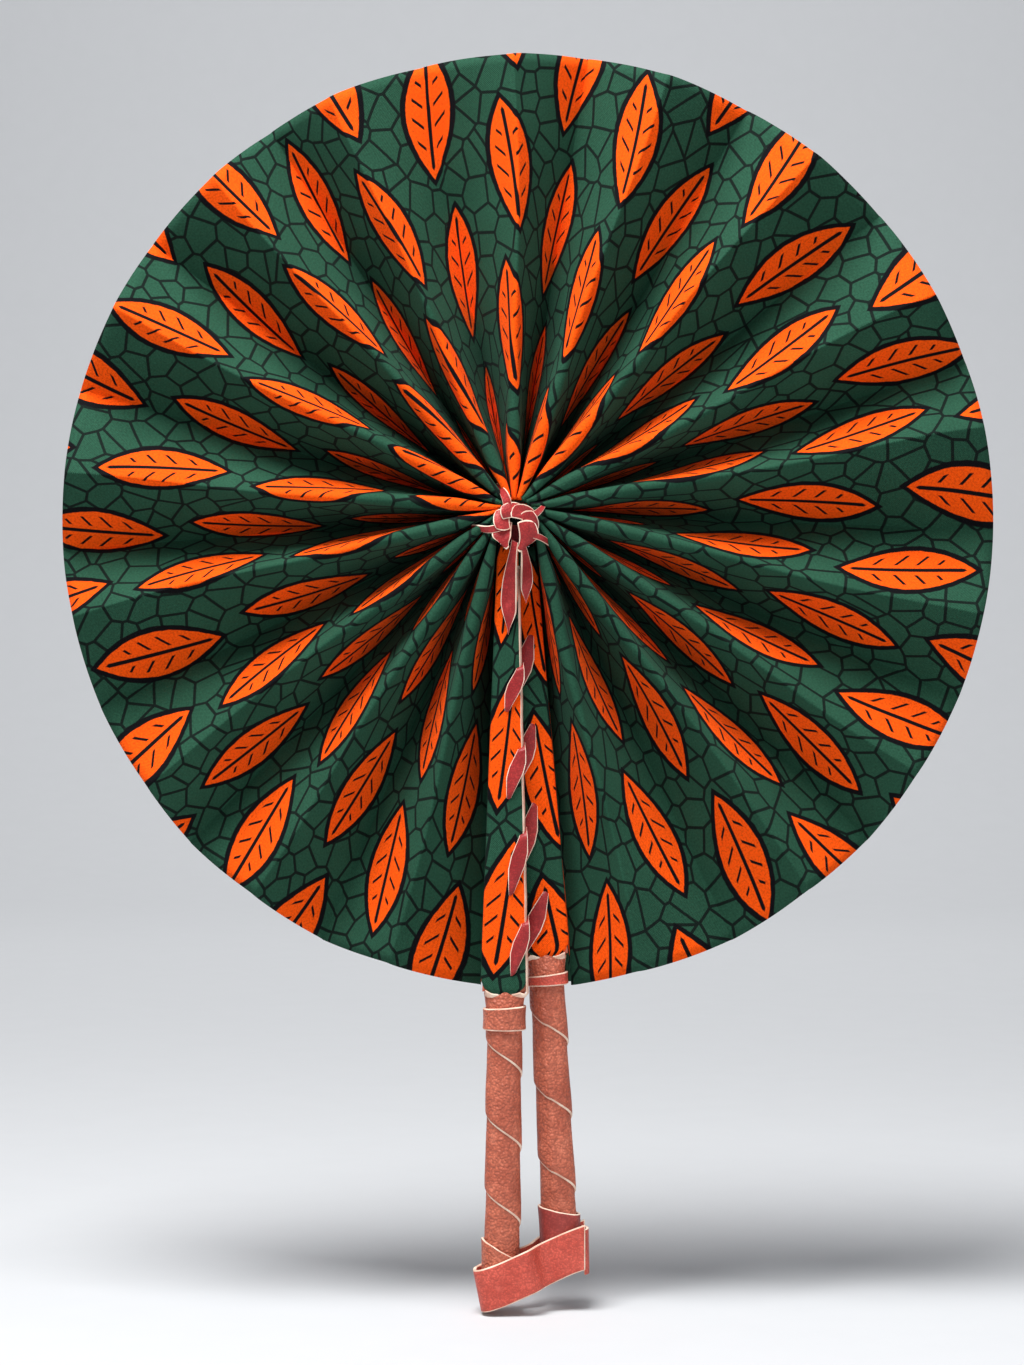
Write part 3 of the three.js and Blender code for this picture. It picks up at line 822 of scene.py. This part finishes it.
# Grip wraps: a leather strip wound down the handle, each turn lapping over the next
wrap = {
    "pitch": 30 * mm, "lap": 1.6 * mm, "thickness": 1.0 * mm, "pare": 0.3 * mm,
    "base": 0.15 * mm,  # how far the strip stands off the stick
    "rise": 0.75 * mm,  # and how much more at the lap
    "tuck": 0.3 * mm,  # how far its cut edge turns in
    "start": 6.3 * mm,
    "phase": {"left": 0.25, "right": 0.62},
    "shift": {"left": 0.35, "right": 0.45},  # turns by which the laps sit lower
    "spare": 2,  # turns begun above the start
    "cutEdge": 0.018,  # share of the strip's width that shows as its cut edge
    "wander": (0.35 * mm, 3.0, 0.4),  # of the laps: size, by turn, start
    "lumps": (0.12 * mm, 5.0, 120, 2.0),  # of the strip: size, by turn, by length, start
    "faces": (-135.0, -70.0),  # degrees the right handle's two flat front faces look to
    "faceTop": 19 * mm,  # where those flats run, from the guard's end
    "faceBottom": 100 * mm, "faceFade": 7 * mm, "offset": 1.0, "columns": 18, "steps": 48,
}


def handleOval(turn, grow):
    width, depth = guards["stick"]
    return Vector(((width / 2 + grow) * cos(turn), (depth / 2 + grow) * sin(turn), 0))


# How far the two flats of the right handle stand out past its oval
def flatten(turn):
    low, high = (radians(face) for face in wrap["faces"])
    at = remainder(turn, tau)
    if not low < at < high:
        return 1.0
    return 1 / cos(min(at - low, high - at))


# Where a column lies on the strip: the last one is the cut edge
def wrapShare(a):
    last = 1 - 1 / wrap["columns"]
    return a / last * (1 - wrap["cutEdge"]) if a <= last + 1e-6 else 1.0


def makeWrap(side):
    guard, matrix = guardAt(side)
    top = guard["end"] + wrap["start"]
    bottom = guard["end"] + guards["handle"]
    turns = ceil((bottom - top) / wrap["pitch"]) + wrap["spare"]
    wander, wanderTurn, wanderStart = wrap["wander"]
    lump, lumpTurn, lumpLength, lumpStart = wrap["lumps"]

    def place(a, b):
        a = wrapShare(a)
        turn = b * turns - wrap["spare"] + wrap["phase"][side]
        angle = pi + tau * (turn - wrap["shift"][side])
        down = top + wrap["pitch"] * turn + a * (wrap["pitch"] + wrap["lap"])
        down += wander * noise(Vector((turn * wanderTurn, wanderStart, guard["side"])))
        grow = wrap["base"]
        if top < down < bottom:
            grow += wrap["rise"] * smooth(a)
        if a == 1.0:
            grow -= wrap["tuck"]
        down = min(max(down, top), bottom)
        grow += lump * noise(Vector((turn * lumpTurn, down * lumpLength, lumpStart)))
        spot = handleOval(angle, grow)
        if side == "right":
            below = down - guard["end"]
            flat = smooth((below - wrap["faceTop"]) / wrap["faceFade"])
            flat *= smooth((wrap["faceBottom"] - below) / wrap["faceFade"])
            spot *= mixed(1.0, flatten(angle), flat)
        return matrix @ (spot + Vector((0, 0, -down)))

    settings = {**wrap, "grid": (wrap["columns"], wrap["steps"] * turns)}
    cutPiece(f"{side}_grip", settings, place, gripLook, guard["body"], [f"{side}_grip_wrap"],
             pale=lambda a: a > 1 - 1 / wrap["columns"])


for side in sides:
    makeWrap(side)
print("grips wound")


# Collars and end bands: short leather bands round the wrapped handles, ends lapped at the back
sleeves = {
    # side, millimetres below the guard's end, height, thickness, slant, leather and replaced node
    "left_collar_band": ("left", 6.3, 9.4, 1.0, -0.6, gripLook, "left_collar"),
    "right_collar_band": ("right", 8.2, 4.7, 1.0, -0.6, strapLook, "right_collar"),
    "left_butt_band": ("left", 104, 18, 0.8, 4.6, gripLook, "left_end_band"),
    "right_butt_band": ("right", 104, 18, 0.8, 2.2, bandLook, "strap_anchor"),
}
sleeve = {
    "grow": 1.9 * mm,
    "from": 100.0,  # degrees at which the band begins, and how far round it goes
    "round": 378.0, "lapFrom": 0.93, "lapShare": 0.05, "lap": 0.5 * mm,
    "ripple": (0.15 * mm, 7), "flare": 0.25 * mm, "offset": 1.0, "pare": 0.48 * mm,
    "grid": (10, 96),
}


def makeSleeve(name, side, start, height, thickness, slant, material, node):
    guard, matrix = guardAt(side)
    top = guard["end"] + start * mm
    ripple, waves = sleeve["ripple"]

    def place(a, b):
        angle = radians(sleeve["from"]) + b * radians(sleeve["round"])
        lift = sleeve["lap"] * smooth((b - sleeve["lapFrom"]) / sleeve["lapShare"])
        lift += ripple * sin(waves * angle)
        flare = sleeve["flare"] * (2 * a - 1) ** 2
        down = top + a * height * mm + slant * mm * cos(angle) * (1 - a)
        return matrix @ (handleOval(angle, sleeve["grow"] + lift + flare) + Vector((0, 0, -down)))

    cutPiece(name, {**sleeve, "thickness": thickness * mm}, place, material, guard["body"], [node])


for name, settings in sleeves.items():
    makeSleeve(name, *settings)
print("collars and bands set")


# Lips: the wraps' upper ends, flared to the width of the guards
lip = {
    "grow": 1.0 * mm,  # at the lower end, past the stick
    "width": 7.6 * mm,  # halves of the upper end
    "depth": 3.7 * mm, "flare": 1.5, "down": (-0.5 * mm, 9 * mm),
    "ragged": ((1.3 * mm, 2, 0.8), (0.7 * mm, 5, 0.0)),  # size, waves and start
    "thickness": 0.8 * mm, "pare": 0.36 * mm, "offset": 1.0, "grid": (10, 64),
}


def makeLip(side):
    guard, matrix = guardAt(side)

    def place(a, b):
        angle = b * tau
        upper = 1 - a
        flare = upper ** lip["flare"]
        width = mixed(guards["stick"][0] / 2 + lip["grow"], lip["width"], flare)
        depth = mixed(guards["stick"][1] / 2 + lip["grow"], lip["depth"], flare)
        ragged = sum(size * upper * sin(waves * angle + start) for size, waves, start in lip["ragged"])
        down = guard["end"] + mixed(*lip["down"], a) + ragged
        return matrix @ Vector((width * cos(angle), depth * sin(angle), -down))

    cutPiece(f"{side}_grip_lip", lip, place, gripLook, guard["body"])


for side in sides:
    makeLip(side)
print("lips flared")


# Strap: a leather hairpin round the left handle's end, its two ends open at the right handle's band
strap = {
    "height": 17 * mm, "thickness": 1.4 * mm, "pare": 0.55 * mm, "tilt": 21.0,
    "gap": 0.3 * mm,  # between the strap and the bands
    "frontEnd": 3.0 * mm,  # how far each end passes the right band
    "backEnd": 3.2 * mm,
    "endShare": 0.16,  # share of the length over which the ends turn upright
    "bendUpright": 0.45,  # how much of the tilt the left bend takes back
    "bendSteps": 8, "bendOut": 0.6 * mm,
    "rounding": (-0.03, -0.015, 0, 0.015, 0.03),  # shares of the length that a point is the mean of
    "rise": (0.25 * mm, 30), "twist": (0.35 * mm, 9), "grid": (10, 150),
}


def makeStrap():
    pivot = Vector(joints["strap_tip"]["pos_m"])
    tilt = radians(strap["tilt"])
    rightBand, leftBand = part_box("strap_anchor"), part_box("left_end_band")
    run = strap["thickness"] / 2 + strap["gap"]
    half = (rightBand[1][0] - rightBand[0][0]) / 2
    leftMiddle = (leftBand[0][0] + leftBand[1][0]) / 2
    leftHalf = (leftBand[1][0] - leftBand[0][0]) / 2
    reach = (pivot.x - leftMiddle) / cos(tilt)
    snug = leftHalf / cos(tilt) + run
    hug = snug + strap["height"] / 2 * tan(tilt)
    frontLeft, backLeft = leftBand[0][1] - run, leftBand[1][1] + run
    frontRight, backRight = rightBand[0][1] - run, rightBand[1][1] + run
    bendDepth = (backLeft - frontLeft) / 2
    corners = [(half + strap["frontEnd"], frontRight), (-half, frontRight), (hug - reach, frontLeft)]
    for step in range(strap["bendSteps"] + 1):
        turn = pi / 2 - pi * step / strap["bendSteps"]
        out = -reach - snug - strap["bendOut"] * cos(turn)
        corners.append((out, frontLeft + bendDepth * (1 - sin(turn))))
    corners += [(hug - reach, backLeft), (-half, backRight), (half + strap["backEnd"], backRight)]
    lengths = [0.0]
    for first, second in zip(corners, corners[1:]):
        lengths.append(lengths[-1] + dist(first, second))

    def along(share):
        at = share * lengths[-1]
        step = max(i for i, length in enumerate(lengths[:-1]) if length <= at + 1e-12)
        t = (at - lengths[step]) / (lengths[step + 1] - lengths[step])
        return [mixed(corners[step][k], corners[step + 1][k], t) for k in (0, 1)]

    def place(a, b):
        points = [along(min(max(b + d, 0), 1)) for d in strap["rounding"]]
        x, y = (sum(point[k] for point in points) / len(points) for k in (0, 1))
        rise, waves = strap["rise"]
        height = (a - 0.5) * strap["height"] + rise * sin(waves * b)
        upright = 1 - smooth(min(b, 1 - b) / strap["endShare"])
        x += height * tan(tilt) * mixed(strap["bendUpright"], 1.0, upright)
        twist, turns = strap["twist"]
        y += twist * (2 * a - 1) * sin(turns * b) * (1 - upright)
        spot = Matrix.Rotation(-tilt, 4, "Y") @ Vector((x, 0, height))
        return Vector((pivot.x + spot.x, y, pivot.z + spot.z))

    cutPiece("holding_strap", strap, place, strapLook, "strap", ["strap_loop"])


# Keeper: the bent leather strip beside the right handle's band that the strap's ends lie round
keeper = {
    "up": 10.4 * mm,  # from the strap's hinge
    "down": 7.6 * mm, "clear": 0.5 * mm, "inside": 0.6 * mm, "bulge": 2.1 * mm,
    "spread": (0.8, 1.1),  # shares of the bulge at the lower and the upper end
    "thickness": 1.0 * mm, "pare": 0.4 * mm, "grid": (10, 40),
}


def makeKeeper():
    pivot = Vector(joints["strap_tip"]["pos_m"])
    low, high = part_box("strap_anchor")
    edge = (high[0] - low[0]) / 2 + keeper["clear"]
    middle = (low[1] + high[1]) / 2
    half = (high[1] - low[1]) / 2 - strap["gap"] - keeper["inside"]
    slope = tan(radians(guards["right"]["lean"]))

    def place(a, b):
        turn = pi * (b - 0.5)
        up = mixed(-keeper["down"], keeper["up"], a)
        out = edge + keeper["bulge"] * cos(turn) * mixed(*keeper["spread"], a)
        return pivot + Vector((out - up * slope, middle - pivot.y + half * sin(turn), up))

    cutPiece("strap_keeper", keeper, place, strapLook, "right_guard")


makeStrap()
makeKeeper()
print("strap bent round")


# Tie at the hub: a thong folded over itself in a ring, loops into the folds and two tails
folds = {
    "behind": 1.9 * mm,  # from the front of the frame's knot
    # degrees round from the right, distance out, turn, length, width, pointed end and the tip's shift
    "list": [
        (58, 6.0, 14, 9.8, 6.2, 0, 0.0),
        (104, 6.2, -10, 9.4, 6.0, 0, 0.0),
        (160, 6.0, 20, 8.8, 6.4, 0, 0.0),
        (216, 6.9, -34, 11.4, 7.6, 1, 0.2),
        (322, 6.9, 40, 12.4, 7.6, -1, 0.7),
        (12, 6.2, 4, 9.4, 6.0, 0, 0.0),
    ],
    "taper": 0.74,  # how much a pointed end narrows
    "narrow": 0.18,  # and a blunt one
    "hollow": 0.9 * mm,  # how far a blunt end is drawn in at its corners
    "bend": 0.10,  # follows the ring round
    "slope": 1.35 * mm,  # one end over its neighbour, the other under
    "arch": 0.7 * mm, "cup": 0.45 * mm, "ripple": (0.35 * mm, 2.1, 2), "pare": 0.25 * mm,
    "thickness": 0.9 * mm, "grid": (16, 20),
}
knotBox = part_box("hub_knot")
knotMiddle = Vector((0.0, knotBox[0][1] + folds["behind"], (knotBox[0][2] + knotBox[1][2]) / 2))


def makeFold(number, bearing, out, turn, length, width, point, shift):
    aim = radians(bearing)
    along = radians(bearing + 90 + turn)
    middle = knotMiddle + Vector((out * mm * cos(aim), 0, out * mm * sin(aim)))
    size, change, waves = folds["ripple"]

    def place(a, b):
        c, s = 2 * a - 1, 2 * b - 1
        tip = smooth(point * s)
        u = s * length / 2 * mm - folds["hollow"] * c * c * s
        v = c * width / 2 * mm * (1 - folds["narrow"] * abs(s) ** 3) * (1 - folds["taper"] * tip)
        v += shift * width / 2 * mm * tip + folds["bend"] * s * s * length * mm
        y = folds["cup"] * c * c - folds["slope"] * s - folds["arch"] * (1 - s * s)
        y += size * sin(number * change + waves * c)
        x = u * cos(along) - v * sin(along)
        z = u * sin(along) + v * cos(along)
        return middle + Vector((x, y, z))

    def cloth(a, b):  # its first measure is 1 on the rim
        return max(abs(2 * a - 1), abs(2 * b - 1)), b

    nodes = ["hub_knot"] if number == 1 else ()
    cutPiece(f"knot_fold_{number}", folds, place, laceLook, "left_guard", nodes, cloth,
             pale=lambda rim: rim > 1 - 2 / folds["grid"][0])


loops = {
    # degrees round from the right, end's distance from the hub, sideways bend, width
    "list": {
        "upper_left": (118.3, 16.0, -1.2, 3.8),
        "left": (187.8, 18.0, 1.6, 3.2),
        "upper_right": (31.3, 15.0, -1.4, 2.8),
        "lower_right": (-38.3, 19.0, 1.2, 2.8),
    },
    "start": 6 * mm,  # from the knot's middle
    "behind": 9.5 * mm,  # how far back the ends lie in the folds
    "arch": 0.8 * mm, "twist": 1.35, "narrow": 0.8, "thickness": 0.8 * mm, "pare": 0.32 * mm,
    "grid": (6, 18),
}


def makeLoop(name, bearing, reach, bow, width):
    aim = radians(bearing)
    outward = Vector((cos(aim), 0, sin(aim)))
    sideways = Vector((-sin(aim), 0, cos(aim)))
    start = knotMiddle + outward * loops["start"]
    end = Vector((0, knotMiddle.y + loops["behind"], hub.z)) + outward * reach * mm

    def place(a, b):
        rise = sin(pi * b)
        point = start.lerp(end, b)
        point.y = mixed(start.y, end.y, b ** 3) - loops["arch"] * rise
        point += sideways * bow * mm * rise
        twist = loops["twist"] * b * b
        spread = (2 * a - 1) * width / 2 * mm * mixed(1.0, loops["narrow"], b)
        return point + sideways * spread * cos(twist) + Vector((0, spread * sin(twist), 0))

    cutPiece(f"tie_loop_{name}", loops, place, laceLook, "left_guard")


tails = {
    # across at the top and at the tip, start and end below the hub, width, side of the point
    "list": {
        "long": (-0.2, -2.9, 9.5, 46.5, 6.6, -1),
        "short": (2.9, 4.2, 10.0, 34.0, 5.0, 1),
    },
    "rest": 1.3 * mm,  # in front of the left facing
    "behind": 1.2 * mm,  # where a tail leaves the knot
    "settle": 0.7,  # share of its length over which it comes to rest
    "arch": 0.9 * mm,
    "neck": (0.38, 0.55),  # share of the width at the top, and where it is full
    "tip": (0.03, 0.36),  # what is left at the tip, and the share that narrows
    "slant": 0.5,  # of the cut end
    "twist": (0.55, 0.4), "bow": 0.8, "pare": 0.44 * mm, "thickness": 0.9 * mm,
    "grid": (18, 40),
}


def makeTail(name, top, tip, start, end, width, lean):
    rest = guards["left"]["middle"] + guards["facingFront"] - tails["rest"]
    neck, neckShare = tails["neck"]
    left, tipShare = tails["tip"]
    turn, turnStart = tails["twist"]

    def place(a, b):
        rise = sin(pi * b)
        wide = width / 2 * mixed(neck, 1.0, smooth(b / neckShare)) * smooth((1 + left - b) / tipShare)
        aside = (2 * a - 1) * wide
        twist = turn * sin(pi * b + turnStart) * lean
        x = mixed(top, tip, b) + tails["bow"] * lean * rise + aside * cos(twist)
        y = mixed(knotMiddle.y + tails["behind"], rest, smooth(b / tails["settle"])) - tails["arch"] * rise
        down = mixed(start, end, b) - lean * aside * tails["slant"]
        return Vector((x * mm, y + aside * mm * sin(twist), hub.z - down * mm))

    cutPiece(f"tie_tail_{name}", tails, place, laceLook, "left_guard", [f"{name}_tail"],
             pale=outermost(tails["grid"][0]))


for number, fold in enumerate(folds["list"], 1):
    makeFold(number, *fold)
for name, loop in loops["list"].items():
    makeLoop(name, *loop)
for name, tail in tails["list"].items():
    makeTail(name, *tail)
print("hub tied")


# Carried-over pieces get their finish
finishes = {
    "left_stick": woodLook, "right_stick": woodLook, "left_sheath": gripLook,
    "right_sheath": gripLook, "hub_thong": laceLook,
}
for name, material in finishes.items():
    node = frame["nodes"][name]
    node.data.materials.clear()
    node.data.materials.append(material)
print("carried pieces finished")


# Stage: pale floor that sweeps up behind
stage = {
    "gap": 0.001,  # below the fan
    "paleness": (0.64, 0.65, 0.665), "speckle": 40.0, "speckleShade": 0.97, "roughness": 0.9,
    "half": 5.0,
    "bend": 2.2,  # where the floor begins to sweep up
    "radius": 1.6,
    "run": 5.24,  # length of the sweep and the wall
    "grid": (2, 60),
}


def makeFloor():
    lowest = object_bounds()[0][2] - stage["gap"]
    radius = stage["radius"]

    def place(a, b):
        y = mixed(-stage["half"], stage["bend"] + stage["run"], b)
        beyond = max(y - stage["bend"], 0)
        turn = min(beyond / radius, pi / 2)
        up = radius * (1 - cos(turn)) + max(beyond - radius * pi / 2, 0)
        flat = min(y, stage["bend"]) + radius * sin(turn)
        return Vector(((2 * a - 1) * stage["half"], flat, lowest + up))

    material, tree, shader = newMaterial("paleFloor")
    speckle = addNoise(tree, objectPlace(tree), stage["speckle"])
    soft = [stage["speckleShade"] * c for c in stage["paleness"]]
    colour = blend(tree, speckle, soft, stage["paleness"])
    feedAll(shader, {"Base Color": colour, "Roughness": stage["roughness"]})
    gridPiece("floor", *stage["grid"], place, plain, [material])


# Lights: soft from above, a weak fill from the right and one on the backdrop
lights = {
    # place, what it points at, size, watts
    "keyLight": ((-0.30, -0.52, 1.60), hub, (0.8, 0.7), 43.0),
    "fillLight": ((0.9, -1.2, 0.45), hub, (1.0, 1.0), 3.5),
    "backdropLight": ((0.0, 1.5, 1.9), (0.0, 3.6, 0.5), (2.6, 0.8), 34.0),
}
room = {"Color": (0.80, 0.83, 0.88), "Strength": 0.30}


def addLight(name, place, target, size, power):
    light = bpy.data.lights.new(name, "AREA")
    light.shape = "RECTANGLE"
    light.size, light.size_y = size
    light.energy = power
    lamp = bpy.data.objects.new(name, light)
    lamp.location = place
    lamp.rotation_euler = (Vector(target) - Vector(place)).to_track_quat("-Z", "Y").to_euler()
    bpy.context.scene.collection.objects.link(lamp)


makeFloor()
for name, settings in lights.items():
    addLight(name, *settings)
world = bpy.data.worlds.new("paleRoom")
world.use_nodes = True
feedAll(world.node_tree.nodes["Background"], room)
bpy.context.scene.world = world
bpy.context.scene.view_settings.view_transform = "Standard"
print("stage lit")
